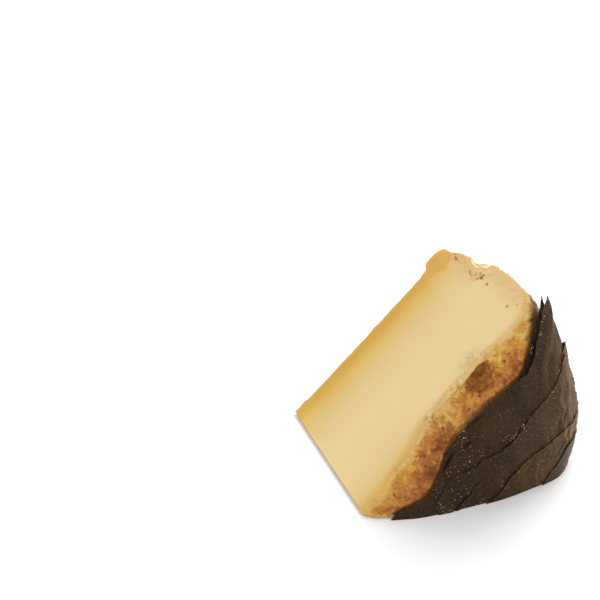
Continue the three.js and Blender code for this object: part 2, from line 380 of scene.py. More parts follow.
def crumb_places():
    """Where lumps have fallen from the upper cut, as points, and their sizes."""
    draw = random.Random(23)
    places = [(upper_cut_point(*spot[:3]), spot[3]) for spot in BREAKS]
    for along in np.arange(6, 78, 4.2):
        edge = float(face_height(along, CUT_ANGLE))
        size = draw.uniform(1.2, 2.2)
        spot = (along + draw.uniform(-1.5, 1.5), edge + size * draw.uniform(0.5, 0.7),
                draw.uniform(-0.6, 0.5) * size)
        places.append((upper_cut_point(*spot), size))
    for along, across, spread, count in PITTED:
        for _ in range(count):
            spot = (draw.gauss(along, spread * 0.6), draw.gauss(across, spread), draw.uniform(-0.2, 0.1))
            places.append((upper_cut_point(*spot), draw.uniform(0.3, 0.75)))
    return places


def crumb_batches(places):
    """The crumbs in batches in which no two meet."""
    batches = []
    for place, size in places:
        for batch in batches:
            if all((place - other).length > 1.5 * (size + reach) for other, reach in batch):
                batch.append((place, size))
                break
        else:
            batches.append([(place, size)])
    return batches


def lump_mesh(name, spots, seed, stretches, unevenness, grain):
    """One mesh of irregular lumps, from places and sizes in mm."""
    draw = random.Random(seed)
    build = bmesh.new()
    for place, size in spots:
        fineness = 2 if size > 2 else 1
        lump = bmesh.ops.create_icosphere(build, subdivisions=fineness, radius=1)["verts"]
        spin = Euler([draw.uniform(0, math.tau) for _ in range(3)]).to_matrix()
        stretch = Vector([draw.uniform(*limits) for limits in stretches])
        for vert in lump:
            rough = 1 + unevenness * noise.noise(vert.co * grain + place)
            vert.co = (place + spin @ (vert.co * stretch * rough) * size) * MM
    mesh = bpy.data.meshes.new(name)
    build.to_mesh(mesh)
    build.free()
    return mesh


def with_modifier(mesh, kind, **settings):
    """A copy of the mesh that has been through one modifier."""
    piece = in_scene("work", mesh)
    modifier = piece.modifiers.new("work", kind)
    for name, value in settings.items():
        setattr(modifier, name, value)
    depsgraph = bpy.context.evaluated_depsgraph_get()
    result = bpy.data.meshes.new_from_object(
        piece.evaluated_get(depsgraph), preserve_all_data_layers=True, depsgraph=depsgraph)
    bpy.data.objects.remove(piece)
    return result


# Walnut leaves: how far each runs along the skin, and its two edges as angles in degrees
LEAVES = {
    "leaf_inner": {
        "along": (48, 66, 76, 78, 82.6, 87.1, 90, 93.5, 95.5, 97.2),
        "upper": (31, 33, 36.2, 37.4, 39.6, 41.2, 42.0, 42.3, 42.5, 42.5),
        "lower": (28, 20, 20, 21, 23, 29, 38.0, 40.8, 41.8, 42.45),
    },
    "leaf_upper": {
        "along": (8.6, 11, 14, 19, 24, 30, 37, 46, 60, 76, 79.8, 84.2, 88, 90.9, 92.8, 94.4, 95.4, 96,
                  96.6),
        "upper": (2, 9.5, 13, 14.2, 17, 24, 31.5, 34, 34.8, 35.3, 36.9, 39.3, 41.2, 42.1, 42.4, 42.4,
                  42.3, 42.3, 42.3),
        "lower": (0, 0, 0, 0, 0, 3, 8, 10, 13, 18, 20, 23, 26, 29, 31, 33.5, 36.5, 39.3, 42.2),
    },
    "leaf_second": {
        "along": (25, 32, 40, 48, 56, 62, 67, 73, 80.6, 86.5, 90, 93.2, 95, 100),
        "upper": (9, 18.5, 18.9, 19.1, 19.3, 21.4, 23.4, 25.0, 27.4, 30.8, 31.4, 30.6, 28.5, 21),
        "lower": (0, 0, 0, 0.4, 2, 3.6, 5, 7.4, 10, 11, 11, 11.6, 12.6, 16),
    },
    "leaf_third": {
        "along": (43, 48, 53, 60, 72, 80, 92, 104),
        "upper": (0.6, 3, 7.4, 10.6, 12.2, 13.2, 13, 9),
        "lower": (0, 0, 0, 0, 0, 0, 2, 7),
    },
    "leaf_lowest": {
        "along": (66, 72, 78, 86, 96, 110),
        "upper": (0.8, 4, 8, 8.4, 6.4, 2),
        "lower": (0, 0, 0, 0, 0, 0),
    },
}


def edge_angle(leaf, side, along):
    """Angle of a leaf's edge in degrees, on a smooth curve through its listed points."""
    stops, values = leaf["along"], np.array(leaf[side], float)
    place = np.interp(along, stops, range(len(stops)))
    first = np.clip(place.astype(int), 0, len(stops) - 2)
    share = place - first
    before = values[np.maximum(first - 1, 0)]
    start, end = values[first], values[first + 1]
    after = values[np.minimum(first + 2, len(stops) - 1)]
    leave, arrive = (end - before) / 2, (after - start) / 2
    return (start + leave * share + (3 * (end - start) - 2 * leave - arrive) * share ** 2
            + (2 * (start - end) + leave + arrive) * share ** 3)


def per_degree(along):
    """Millimetres to one degree round the thin edge."""
    return np.clip(along, 20, 90) * np.pi / 180


def outside_leaf(leaf, along, degrees):
    """About how far a place lies outside a leaf, in mm; 0 under it."""
    above = (degrees - edge_angle(leaf, "upper", along)) * per_degree(along)
    below = (np.maximum(edge_angle(leaf, "lower", along), 0) - degrees) * per_degree(along)
    ends = np.maximum(leaf["along"][0] - along, along - leaf["along"][-1])
    return np.maximum.reduce([above, below, ends, np.zeros_like(along)])


def vertex_values(mesh, kind):
    values = np.zeros(len(mesh.vertices) * 3, np.float32)
    mesh.vertices.foreach_get(kind, values)
    return values.reshape(-1, 3).astype(float)


def store_values(mesh, measures):
    """Keeps a number of each measure for each vertex, for the material to read."""
    for name, values in measures.items():
        attribute = mesh.attributes.new(name, "FLOAT", "POINT")
        attribute.data.foreach_set("value", np.asarray(values, np.float32))


def where_in_wheel(points, rind_tree):
    """Where in the wheel each point lies, in mm and degrees."""
    at = SimpleNamespace(points=points)
    across = points[:, 0] - THIN_EDGE_X
    up = points[:, 2] - TABLE_Z
    angle = np.clip(np.arctan2(up, across), 0, CUT_ANGLE)
    radius, _, face_end, quarter, side_top = skin_sizes(angle)
    at.height = BARE_FACE_Y - points[:, 1]
    at.distance = np.hypot(across, up)
    at.degrees = np.degrees(angle)
    down_side = face_end + quarter + side_top - at.height
    at.along = np.where(at.height < side_top, down_side, at.distance)
    at.along_cut = across * np.cos(CUT_ANGLE) + up * np.sin(CUT_ANGLE)
    at.below_cut = np.maximum(across * np.sin(CUT_ANGLE) - up * np.cos(CUT_ANGLE), 0)
    at.above_table = np.maximum(up, 0)
    at.to_cut = np.minimum(at.below_cut, at.above_table)
    at.below_leafy_face = face_height(np.minimum(at.distance, radius), angle) - at.height
    drop = np.clip((side_top - at.height) / side_top, 0, 1)
    at.below_side = radius * (1 - SIDE_TAPER * drop ** SIDE_TAPER_POWER) - at.distance
    lip_start = radius * (1 - SIDE_TAPER) - FOOT_LIP_WIDTH
    lip = FOOT_LIP * growing(at.distance, lip_start, lip_start + FOOT_LIP_RISE)
    at.below_bare_face = at.height + lip
    nearest = [rind_tree.find_nearest(Vector(point)) for point in points]
    at.skin = np.array([found[3] for found in nearest])
    at.skin_out = -np.array([found[1] for found in nearest])
    at.ragged = relief(points, 2.2, 3, at.to_cut < 8)
    at.by_leafy_face = growing(at.height, 42, 50)
    return at


HOLLOW_PLACE = (62.3, 3.6)      # along the cut and below it
HOLLOW_REACH = (6.0, 4.4)
HOLLOW_DEPTH = 2.3
FLAKE_WIDTH = 1.25


def flake_and_hollow(at):
    """The flake of paste that stands over a hollow under the upper cut: the share of each."""
    across_hollow = np.hypot((at.along_cut - HOLLOW_PLACE[0]) / HOLLOW_REACH[0],
                             (at.below_cut - HOLLOW_PLACE[1]) / HOLLOW_REACH[1])
    hollow = fading(across_hollow + 0.25 * at.ragged, 0.7, 1.1) * (at.height > 40)
    flake_end = FLAKE_WIDTH + 0.55 * at.ragged
    flake = growing(at.along_cut, 54.5, 57) * fading(at.along_cut, 67.3, 68.3)
    flake = flake * fading(at.skin + 0.5 * at.ragged, 1.0, 2.5) * (at.height > 40)
    flake = flake * fading(at.below_cut, flake_end, flake_end + 0.5)
    return flake, hollow * growing(at.below_cut, flake_end, flake_end + 0.7)


def rind_stains(at, dent):
    """How brown the rind is stained, in spots and in the hollow; under the flake the hollow's brown is
    partly painted shade.
    """
    ragged_share = np.clip(0.9 + 0.5 * at.ragged, 0.65, 1)
    # In the hollow under the flake: a brown stain that is partly painted shade beneath the flake
    stain = dent * (1 - 0.2 * growing(at.below_cut, 5, 8)) * ragged_share
    for along, degrees, radius, amount in STAINS:
        away = np.hypot(at.along - along, (at.degrees - degrees) * per_degree(at.along))
        share = amount * fading(away + 0.9 * at.ragged, 0.4 * radius, 1.2 * radius)
        stain = np.maximum(stain, share * (at.height > 40))
    return stain


def leaf_marks(at):
    """Where leaves have pressed the rind, and where their tannin has browned it, with painted shade along
    the leaves' edges.
    """
    to_leaf = np.full(len(at.points), 99.0)
    for leaf in LEAVES.values():
        to_leaf = np.minimum(to_leaf, outside_leaf(leaf, at.along, at.degrees))
    leafed = fading(to_leaf, 0, 1.2) * (at.height > 4)
    # Darker by the leaves' edges near the foot and near the far corner: tannin stain and painted shade where
    # the leaves meet the rind
    tannin = fading(to_leaf + 0.8 * at.ragged, 0.2, 2.8) * (at.height > 4)
    tannin *= growing(at.along, 78, 87) + fading(at.along, 12, 18)
    # Painted shade: a dark line on the rind along every leaf's edge
    edge_line = 0.55 * fading(to_leaf + 0.9 * at.ragged, 0.1, 1.1) * (at.height > 4)
    return leafed, np.maximum(tannin, edge_line)


RIND_LUMP = 5.0                 # size of the rind's swellings
RIND_SWELL = 0.45
NODULE = 4.4                    # size of the nodules on it
NODULE_HEIGHT = 0.9
PIT = 1.3


def rind_relief(at, bare):
    """Swellings, nodules and pits of the bare rind: its rise, how sunken it is as a share of painted shade,
    and the pits.
    """
    points = at.points
    calm = growing(at.to_cut, 0.3, 3.0)
    seen = bare > 0.01
    swell = relief(points, RIND_LUMP, 2, seen)
    lumps = relief(points + 40, 1.9, 3, seen)
    grain = relief(points + 70, 0.8, 2, seen)
    pit_level, pit_border = crumbs_in(points + 25, PIT, seen)
    pits = (pit_level > 0.93) * growing(pit_border, 0.2, 0.6)
    warp = np.stack([swell, lumps, grain], -1) * 1.6
    nodule_level, nodule_border = crumbs_in(points + warp + 60, NODULE, seen)
    nodules = growing(nodule_border, 0.0, 0.55) * (0.3 + 0.7 * nodule_level)
    lumpy = RIND_SWELL * swell + NODULE_HEIGHT * nodules + 0.45 * lumps - 0.5 * pits
    # How sunken the rind is between its lumps and in its pits; the material browns it there as painted shade
    # in the recesses
    recess_shade = np.clip(0.75 - 0.5 * swell - 0.5 * lumps + 0.4 * pits - 0.7 * nodules, 0, 1)
    recess_shade += (0.42 - recess_shade) * 0.5 * fading(at.along_cut, 19, 27)
    return bare * (calm * lumpy + 0.12 * grain), recess_shade, pits


CRUMBLE_WIDTH = 11.0            # the paste breaks up this close to the side of the wheel
CRUMB = 2.6
KNIFE_WAVE = 0.10               # the knife's slow wander


def cut_relief(at, on_top):
    """Knife cut: nearly flat, breaking up and fissured towards the wheel's side."""
    points = at.points
    reach = CRUMBLE_WIDTH + 5 * relief(points + 7, 9, 2, on_top > 0)
    broken = on_top * fading(at.below_side, reach * 0.4, reach)
    crumb_level, crumb_border = crumbs_in(points, CRUMB, broken > 0.01)
    fissured = broken * hump(at.height, 19, 10)
    fissured = fissured * (relief(points + 55, 5, 2, broken > 0.01) > 0.12)
    rise = on_top * KNIFE_WAVE * relief(points, 14, 2, on_top > 0)
    rise -= broken * (0.125 * crumb_level + 0.075)
    rise += broken * 0.16 * relief(points + 3, 3.2, 2, broken > 0.01)
    return rise - fissured * 0.4 * fading(crumb_border, 0.02, 0.12), broken


# The facet at the upper cut's far corner: places along the cut, and how far it runs in
FACET = ((69.5, 75.0, 78.6, 80.5, 83.5, 85.5), (3.6, 4.8, 7.8, 6.0, 4.6, 2.0))
# The upper cut's rim, where a piece has broken out: places above the bare face, and how far off
# the thin edge it is
RIM = ((0, 5, 10.8, 13.6, 15.2, 18.9, 21.5, 24.0, 24.7, 27),
       (83.6, 86.2, 87.4, 88.4, 87.4, 87.4, 89.4, 90.6, 93.2, 97))
UPPER_CUT_OUT = np.array([-math.sin(CUT_ANGLE), 0, math.cos(CUT_ANGLE)])
UPPER_CUT_ALONG = np.array([math.cos(CUT_ANGLE), 0, math.sin(CUT_ANGLE)])
LOWER_CUT_OUT = np.array([0.0, 0.0, -1.0])


def edge_loss(at, cut_out, from_cut, loss, width, crumbly=0):
    """How points near a cut's edge with the rind have sunk in, both sides the same way and in
    steps the size of a crumb. Also how near the edge each point is."""
    corner = np.hypot(from_cut, at.skin)
    nearness = fading(corner, 0.3 * width, width)
    close = nearness > 0.01
    inwards = -(at.skin_out + cut_out)
    inwards /= np.linalg.norm(inwards, axis=1)[:, None]
    across = at.points - np.sum(at.points * inwards, axis=1)[:, None] * inwards
    steps = (0.3 + 0.7 * crumbly) * relief(across + 9, 1.4, 3, close)
    depth = 0.5 + 0.7 * relief(across, 4.5, 2, close) + steps
    fringe = fading(corner, 0.15, 0.75 + 1.6 * crumbly)
    return (nearness * loss * np.clip(depth, 0, 1.4))[:, None] * inwards, fringe


def pitted_paste(at):
    """How near each point is to a small pit in the cut, from 0 to 1."""
    pitted = np.zeros(len(at.points))
    for place, size in crumb_places()[-sum(cluster[3] for cluster in PITTED):]:
        away = np.linalg.norm(at.points - np.array(place), axis=1) + 0.5 * size * at.ragged
        pitted = np.maximum(pitted, fading(away, 0.5 * size, 1.1 * size))
    return pitted


def ripening(at, low_down):
    """How far a place has ripened, in mm off the cut: sooner low down on the leafy face."""
    yellow = 2.4 * growing(at.along_cut, 36, 50) + 3.8 * hump(at.along_cut, 46, 4.5)
    from_cut = at.below_cut - yellow
    brown = 5.8 + 3.0 * growing(at.along_cut, 23, 29) + 6 * fading(at.along_cut, 3, 9)
    soon_brown = brown * (1 - np.exp(-(at.below_cut / 4.2) ** 1.4)) + 0.1 * at.below_cut
    return from_cut + low_down * (soon_brown - from_cut)


RIND_THICKNESS = 0.55
LEAF_PRINT = 0.5                # the rind is pressed in this far under the leaves
WORN_BACK = 2.5                 # the paste's edge is worn back this far low on the leafy face
THIN_EDGE_LIFT = 1.1            # the thin edge has bent up a little off the table
THIN_EDGE_BEND = 5


def add_relief_to(mesh, rind_tree):
    """Gives the even mesh the surfaces of rind, knife cut and broken paste."""
    at = where_in_wheel(vertex_values(mesh, "co") / MM, rind_tree)
    normals = vertex_values(mesh, "normal")
    points, along_cut, below_cut, skin = at.points, at.along_cut, at.below_cut, at.skin
    by_side = growing(along_cut, 80, 88) * (1 - at.by_leafy_face)
    rind = fading(skin, RIND_THICKNESS * 0.6, RIND_THICKNESS * 1.2)
    rind *= growing(at.to_cut + 1.1 * at.ragged, 0.1 + 1.1 * by_side, 1.3 + 2.0 * by_side)
    flake, dent = flake_and_hollow(at)
    rind *= 1 - flake
    leafed, tannin = leaf_marks(at)
    bare = rind * (1 - leafed)
    rise, recess_shade, pits = rind_relief(at, bare)
    rise -= rind * leafed * LEAF_PRINT
    rise += 0.5 * flake - HOLLOW_DEPTH * dent * (1 - 0.6 * growing(below_cut, 2.5, 8))
    near_top = fading(below_cut, 1.5, 4.0)
    on_top = (1 - rind) * near_top
    cut_rise, broken = cut_relief(at, on_top)

    # The facet at the far corner tilts up to the bare face
    into_facet = np.interp(along_cut, *FACET, left=-9, right=-9) - at.height
    facet = near_top * growing(into_facet, -0.2, 0.4)
    lifted = 0.12 * np.maximum(into_facet, 0) * fading(below_cut, 0, 8)
    rind *= 1 - facet * fading(below_cut, 0.3, 1.2)

    # Edges: crumbled in small steps, most of all between the upper cut and the leafy face
    leafy = at.by_leafy_face
    crumbly = (hump(along_cut, 39.5, 3.5) + hump(along_cut, 54.5, 5)) * leafy
    loose = np.maximum(crumbly, 0.5 * fading(along_cut, 26, 32) * leafy)
    upper_loss, upper_width = 0.15 + 0.35 * leafy + 0.6 * loose, 1.2 + 0.7 * leafy + 1.5 * loose
    shift, fringe = edge_loss(at, UPPER_CUT_OUT, below_cut, upper_loss, upper_width, loose)
    lower_shift, _ = edge_loss(at, LOWER_CUT_OUT, at.above_table, 0.9, 2.2)
    lower_shift *= growing(at.distance, 3, 8)[:, None]
    nub = hump(at.height, 27, 6) * fading(below_cut, 1, 5)
    rise += cut_rise + 0.9 * nub * growing(along_cut, 88, 92) * rind
    burr = 0.6 * hump(along_cut, 5.4, 1.7) + 0.35 * hump(along_cut, 44, 1.5)
    burr *= fading(at.below_bare_face, 0, 2.2) * fading(below_cut, 0.2, 1.8)
    worn_back = WORN_BACK * hump(along_cut, 18.5, 7) * fading(below_cut, 0.5, 8)

    slant = at.height + 1.17 * below_cut + 0.8 * at.ragged
    lost = np.maximum(at.below_side + at.distance - np.interp(slant, *RIM), 0)
    lost = lost * fading(below_cut, 5, 9) * fading(at.below_side, 1, 13)

    rise *= growing(at.above_table, 0.2, 1.5)
    moved = points + normals * rise[:, None] + shift + lower_shift + lifted[:, None] * UPPER_CUT_OUT
    moved -= lost[:, None] * UPPER_CUT_ALONG
    moved[:, 1] += burr * (1 + 0.6 * at.ragged) + worn_back * leafy * fading(skin, 0, 9)
    moved[:, 2] += THIN_EDGE_LIFT * np.exp(-at.distance / THIN_EDGE_BEND)
    move_inside(mesh, moved * MM)

    # What the material follows: depths in mm, and shares from 0 to 1
    fringe *= leafy * (0.12 + 0.23 * growing(along_cut, 28, 40) + 0.65 * np.minimum(crumbly, 1))
    low_down = fading(along_cut, 34, 44) * leafy
    coarse = growing(relief(points + 90, 7.0, 2, bare > 0.01), 0.0, 0.3) * bare
    by_edge = fading(np.hypot(below_cut / 5.5, skin / 1.2), 0.5, 1) * np.minimum(crumbly, 1)
    crumbled = np.maximum(0.5 * coarse * growing(below_cut, 2, 4), by_edge)
    values = {
        "rind": rind, "hollow": recess_shade, "stain": rind_stains(at, dent), "tannin": tannin, "facet": facet,
        "from_skin": skin + 0.6 * leafy - 2.6 * low_down * growing(skin, 0, 2.6) + 5 * by_side,
        "from_bare_face": at.below_bare_face, "from_side": at.below_side,
        "from_leafy_face": at.below_leafy_face + 0.8 * np.maximum(along_cut - 25, 0),
        "from_cut": ripening(at, low_down), "from_edge": below_cut + 4 * (1 - np.maximum(low_down, by_side)),
        "fringe": fringe, "broken": np.maximum(0.5 * broken, fringe), "pits": 0.7 * pits * bare,
        "pitted": pitted_paste(at), "crumbled": crumbled * (1 - 0.8 * dent),
        "mould": hump(along_cut, 64, 4.5) * hump(at.height, 50.4, 2.3) * on_top,
    }
    store_values(mesh, values)
    return list(values)


def move_inside(mesh, places):
    """Moves the vertices to places in metres, none outside the solids' box."""
    places = np.clip(places, cad_box[0], cad_box[1])
    mesh.vertices.foreach_set("co", places.astype(np.float32).ravel())
    mesh.update()


def painted(add, colour, layers):
    """Layers of colour over another: the tint of each and its share. What follows the share, a
    value, two of its numbers and the part of the share at each, spreads it unevenly."""
    for tint, share, *spread in layers:
        if spread:
            value, start, end, low, high = spread
            part = add("MapRange", Value=value, From_Min=start, From_Max=end, To_Min=low, To_Max=high)
            share = add("Math", operation="MULTIPLY", Value=part, Value_001=share)
        colour = add("Mix", data_type="RGBA", Factor_Float=share, A_Color=colour, B_Color=linear(tint))
    return colour


def ripe_pecorino(measures):
    """Sheep's milk cheese: a waxy cream paste that lets light a little way in and turns golden
    towards the rind, and a natural rind, greasy and pitted, from yellow to brown."""
    material, add = new_material("ripe_pecorino")
    place = add("TexCoord").outputs["Object"]
    near = SimpleNamespace(**{
        name: add("Attribute", attribute_name=name).outputs["Fac"] for name in measures})
    clouds, mottle, speckle = [
        add("TexNoise", Vector=place, Scale=1 / (size * MM), Detail=detail, Roughness=rough)
        for size, detail, rough in ((16, 4.0, 0.5), (4.5, 5.0, 0.6), (1.1, 4.0, 0.6))]
    by_bare_face, by_leafy_face, by_side, ripe, blotch = [
        add("Math", operation="MULTIPLY_ADD", Value=value, Value_001=factor, Value_002=start)
        for value, factor, start in (
            (clouds, 5.0, near.from_bare_face), (near.from_leafy_face, 1.1, 9.0),
            (clouds, -6.0, near.from_side), (mottle, -4.0, near.from_skin), (mottle, 6.5, near.from_cut))]

    # Paste: golden by the bare face and cream 20 mm in; straw yellow, then pinkish, by the side
    nearer = add("Math", operation="MINIMUM", Value=by_bare_face, Value_001=by_leafy_face)
    gold_place = add("MapRange", Value=nearer, From_Min=2.5, From_Max=32.5)
    paste = add("ValToRGB", Fac=gold_place, stops=(
        (0, 0xD29D2E), (0.12, 0xDDAE48), (0.2, 0xE2B85F), (0.3, 0xE7C26E), (0.45, 0xE9C985),
        (0.7, 0xEED196), (1, 0xF1D69D)))
    pinkish, under_rind = [
        add("MapRange", interpolation_type="SMOOTHSTEP", Value=value, From_Min=start, From_Max=end,
            To_Min=0.85, To_Max=0)
        for value, start, end in ((by_side, -2.5, 9.0), (ripe, -2.2, 2.4))]
    paste = painted(add, paste, (
        (0xE6BF84, pinkish),
        (0xDCB160, under_rind),
        (0xF8E2AC, near.fringe, speckle, 0.40, 0.55, 0.3, 0.9),
        (0xE4B45A, near.facet),
        (0xA67A44, near.pitted),
        (0xA89A70, near.mould, speckle, 0.38, 0.58, 0.1, 0.75)))

    # Rind: pale and yellow where the cut broke it, then amber, then brown under the leaves
    # Browner where the rind is sunken (the hollow measure): painted shade in the recesses between the lumps
    patchy = add("Math", operation="MULTIPLY_ADD", Value=near.hollow, Value_001=6.5, Value_002=blotch)
    brown_place = add("MapRange", Value=patchy, From_Min=4.5, From_Max=20)
    rind = add("ValToRGB", Fac=brown_place, stops=(
        (0, 0xE6C070), (0.12, 0xDFAE4E), (0.24, 0xD39940), (0.36, 0xC88539), (0.50, 0xB97133),
        (0.66, 0xA6602A), (0.82, 0x8A4E22), (1, 0x6C411A)))
    young = add("MapRange", Value=brown_place, From_Min=0.45, From_Max=0.85, To_Min=1, To_Max=0.15)
    cells = add("TexVoronoi", Vector=place, Scale=1 / (2.6 * MM))
    dots = add("MapRange", Value=cells, From_Min=0.04, From_Max=0.11, To_Min=0.6, To_Max=0)
    dots = add("Math", operation="MAXIMUM", Value=dots, Value_001=near.pits)
    rind = painted(add, rind, (
        (0xE2AE52, young, speckle, 0.50, 0.66, 0, 0.4),
        (0x84501F, 1, speckle, 0.34, 0.46, 0.25, 0),
        # A pale line along the broken edge, low down and by the side: pale paste, partly a painted highlight
        # where the edge catches light
        (0xF4D690, 1, near.from_edge, 0.2, 0.7, 0.8, 0),
        (0x9A7A54, 1, near.from_side, 0.4, 1.6, 0.6, 0),
        # Dark brown by the leaves' edges: tannin stain and painted shade
        (0x5C3C20, near.tannin),
        # Brown stains, and in the hollow under the flake partly painted shade
        (0x90501C, near.stain),
        (0x74481F, dots)))
    colour = add("Mix", data_type="RGBA", Factor_Float=near.rind, A_Color=paste, B_Color=rind)

    # Crumbs standing apart: a painted highlight on their tops and painted shade in the cracks between them
    bent = add("VectorMath", operation="MULTIPLY_ADD", Vector=speckle.outputs["Color"],
               Vector_001=(1.5 * MM,) * 3, Vector_002=place)
    crumbs = add("TexVoronoi", feature="DISTANCE_TO_EDGE", Vector=bent, Scale=1 / (1.9 * MM))
    crumb_top_highlight = add("MapRange", Value=crumbs, From_Min=0.08, From_Max=0.3, To_Min=0, To_Max=0.45)
    crumb_top_highlight = add("Math", operation="MULTIPLY", Value=crumb_top_highlight, Value_001=near.crumbled)
    colour = painted(add, colour, (
        (0xF0C472, crumb_top_highlight), (0xB87A22, near.crumbled, crumbs, 0.0, 0.1, 0.8, 0.0)))
    surface = add("Math", operation="MULTIPLY_ADD", Value=crumb_top_highlight, Value_001=0.6, Value_002=speckle)
    roughness = add("MapRange", Value=near.rind, To_Min=0.45, To_Max=0.36)
    coarse = add("Math", operation="MAXIMUM", Value=near.rind, Value_001=near.broken)
    grain_depth = add("MapRange", Value=coarse, To_Min=0.06, To_Max=0.6)
    bump = add("Bump", Height=surface, Strength=grain_depth, Distance=0.5 * MM)
    body = add("BsdfPrincipled", Base_Color=colour, Roughness=roughness, Normal=bump, IOR=1.45,
               Specular_IOR_Level=0.25, Subsurface_Weight=0.3, Subsurface_Radius=(1.0, 0.75, 0.5),
               Subsurface_Scale=1.3 * MM)
    add("OutputMaterial", Surface=body)
    return material


SECTIONS = 90
CRUMB_STRETCHES = ((0.8, 1.2), (0.8, 1.2), (0.6, 0.9))
CRUMB_GRID = 0.34
FACE_BUDGET = 185000

angles = CUT_ANGLE * (1 - (1 - np.linspace(0, 1, SECTIONS)) ** 1.4)
wedge_outlines = [in_space(*cheese_outline(angle), angle) for angle in angles]
cheese_mesh = cut_wedge(wedge_outlines)
for number, batch in enumerate(crumb_batches(crumb_places())):
    crumbs = in_scene("crumbs", lump_mesh("crumbs", batch, number, CRUMB_STRETCHES, 0.25, 1.7))
    cheese_mesh = with_modifier(cheese_mesh, "BOOLEAN", operation="DIFFERENCE", solver="MANIFOLD",
                                object=crumbs)
    bpy.data.objects.remove(crumbs)
cheese_mesh = with_modifier(cheese_mesh, "REMESH", mode="VOXEL", voxel_size=CRUMB_GRID * MM)
measures = add_relief_to(cheese_mesh, rind_surface(wedge_outlines))
share_kept = FACE_BUDGET / (2 * len(cheese_mesh.polygons))
cheese_mesh = with_modifier(cheese_mesh, "DECIMATE", ratio=share_kept)
move_inside(cheese_mesh, vertex_values(cheese_mesh, "co"))
cheese = dressed("cheese_body", cheese_mesh, ripe_pecorino(measures))
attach(cheese, "root")
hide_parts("cheese")

# ---- The walnut leaves ----
# Dried walnut leaflets that were wrapped round the wheel while they were damp. They overlap
# like shingles, were cut through with the cheese, and stick to it by its own fat.
LEAF_THICKNESS = 0.28
LEAF_GAP = 0.14
LEAF_MARGIN = 0.5
LEAF_DRAPE = 5
TIP_LENGTH = 16
EDGE_CURL = 0.45
CURL_WIDTH = 1
# How far a leaf stands off what it lies on, from where to where it rises so, how far its tip
# lifts, how grey it turns towards the wheel's side (dry fibres and a painted sheen), and how much painted
# shade darkens it all over
LEAF_LIES = {
    "leaf_inner": (0.1, 70, 84, 2.8, 0.2, 0.75),
    "leaf_upper": (1.2, 70, 84, 0.4, 0.30, 0),
    "leaf_second": (0.9, 86, 94, 0.4, 0.62, 0),
    "leaf_third": (0.1, 70, 84, 0.2, 1, 0),
    "leaf_lowest": (0.1, 70, 84, 0.2, 0.55, 0),
}
LEAF_GRID = 0.42
# Folds and splits in the leaves: from and to, each along the skin and in degrees, and depth
CREASES = {
    "leaf_upper": [(31.6, 24.4, 39.2, 30.2, 0.75), (42.4, 28.3, 46.4, 29.2, 0.6),
                   (48, 33.4, 57, 33.9, 0.4)],
    "leaf_third": [(88, 12, 80, 6, 0.5), (84, 12, 76, 6.5, 0.4),
                   (80, 12, 73, 7, 0.4)],
    "leaf_second": [(30.8, 0, 38.4, 8.4, 1), (33.2, 7.6, 35.6, 10.8, 0.6), (38.4, 8.4, 42.5, 11.4, 0.5),
                    (79, 15, 83.5, 22, 0.5), (76, 12, 79.5, 20.5, 0.4)],
}


def stand_off(name, along, degrees):
    """How far a leaf stands off what it lies on, by the leafy face and at its tip."""
    height, start, end, tip_lift = LEAF_LIES[name][:4]
    to_tip = (along - LEAVES[name]["along"][-1] + TIP_LENGTH) / TIP_LENGTH
    by_face = height * growing(along, start, end) * growing(degrees, 10, 20)
    return by_face + tip_lift * np.clip(to_tip, 0, 1) ** 3


def leaf_lift(name, along, degrees):
    """Height of a leaf above the rind: it steps up over each leaf below it."""
    names = list(LEAVES)
    lift = LEAF_GAP + stand_off(name, along, degrees)
    for below in names[:names.index(name)]:
        cover = fading(outside_leaf(LEAVES[below], along, degrees), LEAF_MARGIN, LEAF_DRAPE)
        lift = lift + (LEAF_THICKNESS + LEAF_GAP + stand_off(below, along, degrees)) * cover
    return lift


def crease_depth(name, along, arc):
    """How deep each place of a leaf lies in a fold or a split, in mm."""
    deepest = np.zeros_like(along)
    for start, start_angle, end, end_angle, depth in CREASES.get(name, ()):
        run = end - start
        rise = (end_angle - start_angle) * per_degree((start + end) / 2)
        from_start = (arc / per_degree(along) - start_angle) * per_degree(along)
        share = np.clip(((along - start) * run + from_start * rise) / (run ** 2 + rise ** 2), 0, 1)
        away = np.hypot(along - start - run * share, from_start - rise * share)
        width = 0.42 * np.sin(np.pi * np.clip(share, 0.08, 0.92)) + 0.1
        deepest = np.maximum(deepest, depth * np.exp(-(away / width) ** 2))
    return deepest


def grain_place(along, degrees):
    """Place across the wrinkles, which lean towards the tips."""
    return along - 0.3 * degrees * per_degree(along) * (degrees / 40) ** 2


def leaf_rise(name, along, degrees):
    """Height of a leaf's underside above the rind, with its curl, wrinkles and folds."""
    arc = degrees * per_degree(along)
    from_edge = edge_angle(LEAVES[name], "upper", along) * per_degree(along) - arc
    surface = np.stack([along.ravel(), arc.ravel(), np.zeros(along.size)], -1)
    buckle = relief(surface, 9.0, 3).reshape(along.shape)
    wander = relief(surface + 30, 12.0, 2).reshape(along.shape)
    slanted = grain_place(along, degrees) + 2 * wander
    striped = np.stack([slanted.ravel(), arc.ravel() * 0.07, np.full(along.size, 5.0)], -1)
    stripes = relief(striped, 2.8, 3).reshape(along.shape)
    wrinkled = 0.10 + 0.90 * growing(along, 74, 86)
    crease = crease_depth(name, along, arc)
    rise = leaf_lift(name, along, degrees)
    curled = growing(along, 34, 46) * (1 - 0.6 * growing(along, 56, 76))
    curl = EDGE_CURL * curled * np.clip(0.8 + 0.9 * buckle, 0.15, 1.5)
    rise = rise + curl * np.exp(-np.maximum(from_edge, 0) / CURL_WIDTH)
    ridge = wrinkled * np.maximum(0.8 - np.abs(stripes) * 4.0, 0)
    rise = rise + 0.25 * (buckle + 0.6) + 0.65 * ridge
    return rise - crease, from_edge, crease, ridge


